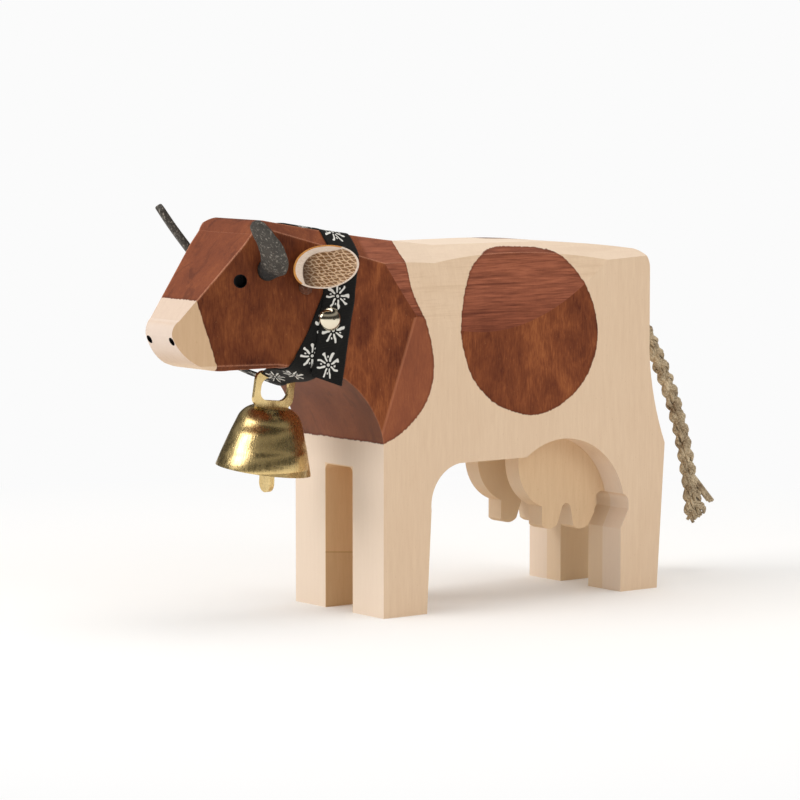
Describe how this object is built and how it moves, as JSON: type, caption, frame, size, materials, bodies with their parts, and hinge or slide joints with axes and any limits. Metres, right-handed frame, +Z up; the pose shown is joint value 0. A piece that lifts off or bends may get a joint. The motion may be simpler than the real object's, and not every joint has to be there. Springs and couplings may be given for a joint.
{
  "type": "cow figurine",
  "caption": "Standing carved wooden cow with leather horns and cupped ears, a plaited cord tail, and a ribbon collar that carries a swinging brass bell.",
  "frame": {"origin": "on the ground under the middle of the carved block, half way between the nose and the back of the thighs, on the mid-plane", "axes": "+Z up, the nose towards -Y, the cow's own left side towards +X"},
  "size_m": [0.0528, 0.1867, 0.1096],
  "materials": {
    "wood": "matt, partly stained reddish brown",
    "dark_leather": "rough, with pale specks",
    "tan_leather": "embossed, with a raw pale rim",
    "ribbon": "woven, with pale flowers",
    "nickel": "polished",
    "brass": "satin turned",
    "cord": "plaited natural fibre"
  },
  "bodies": {
    "cow": {"cow_body": "wood", "left_horn": "dark_leather", "right_horn": "dark_leather", "left_ear": "tan_leather", "right_ear": "tan_leather", "collar_ribbon": "ribbon", "collar_tack": "nickel", "tail_braid": "cord"},
    "bell": {"bell_shell": "brass", "bell_bail": "brass", "clapper_hook": "brass"},
    "clapper": {"clapper": "brass"}
  },
  "joints": [
    {"name": "bell_swing", "type": "hinge", "parent": "cow", "child": "bell", "pos_m": [0, -0.0431, 0.0635], "axis": [1, 0, 0], "range_deg": [-17, 14]},
    {"name": "clapper_swing", "type": "hinge", "parent": "bell", "child": "clapper", "pos_m": [-0.001, -0.04211, 0.05249], "axis": [0.9959, 0, -0.0906], "range_deg": [-41, 30]}
  ]
}
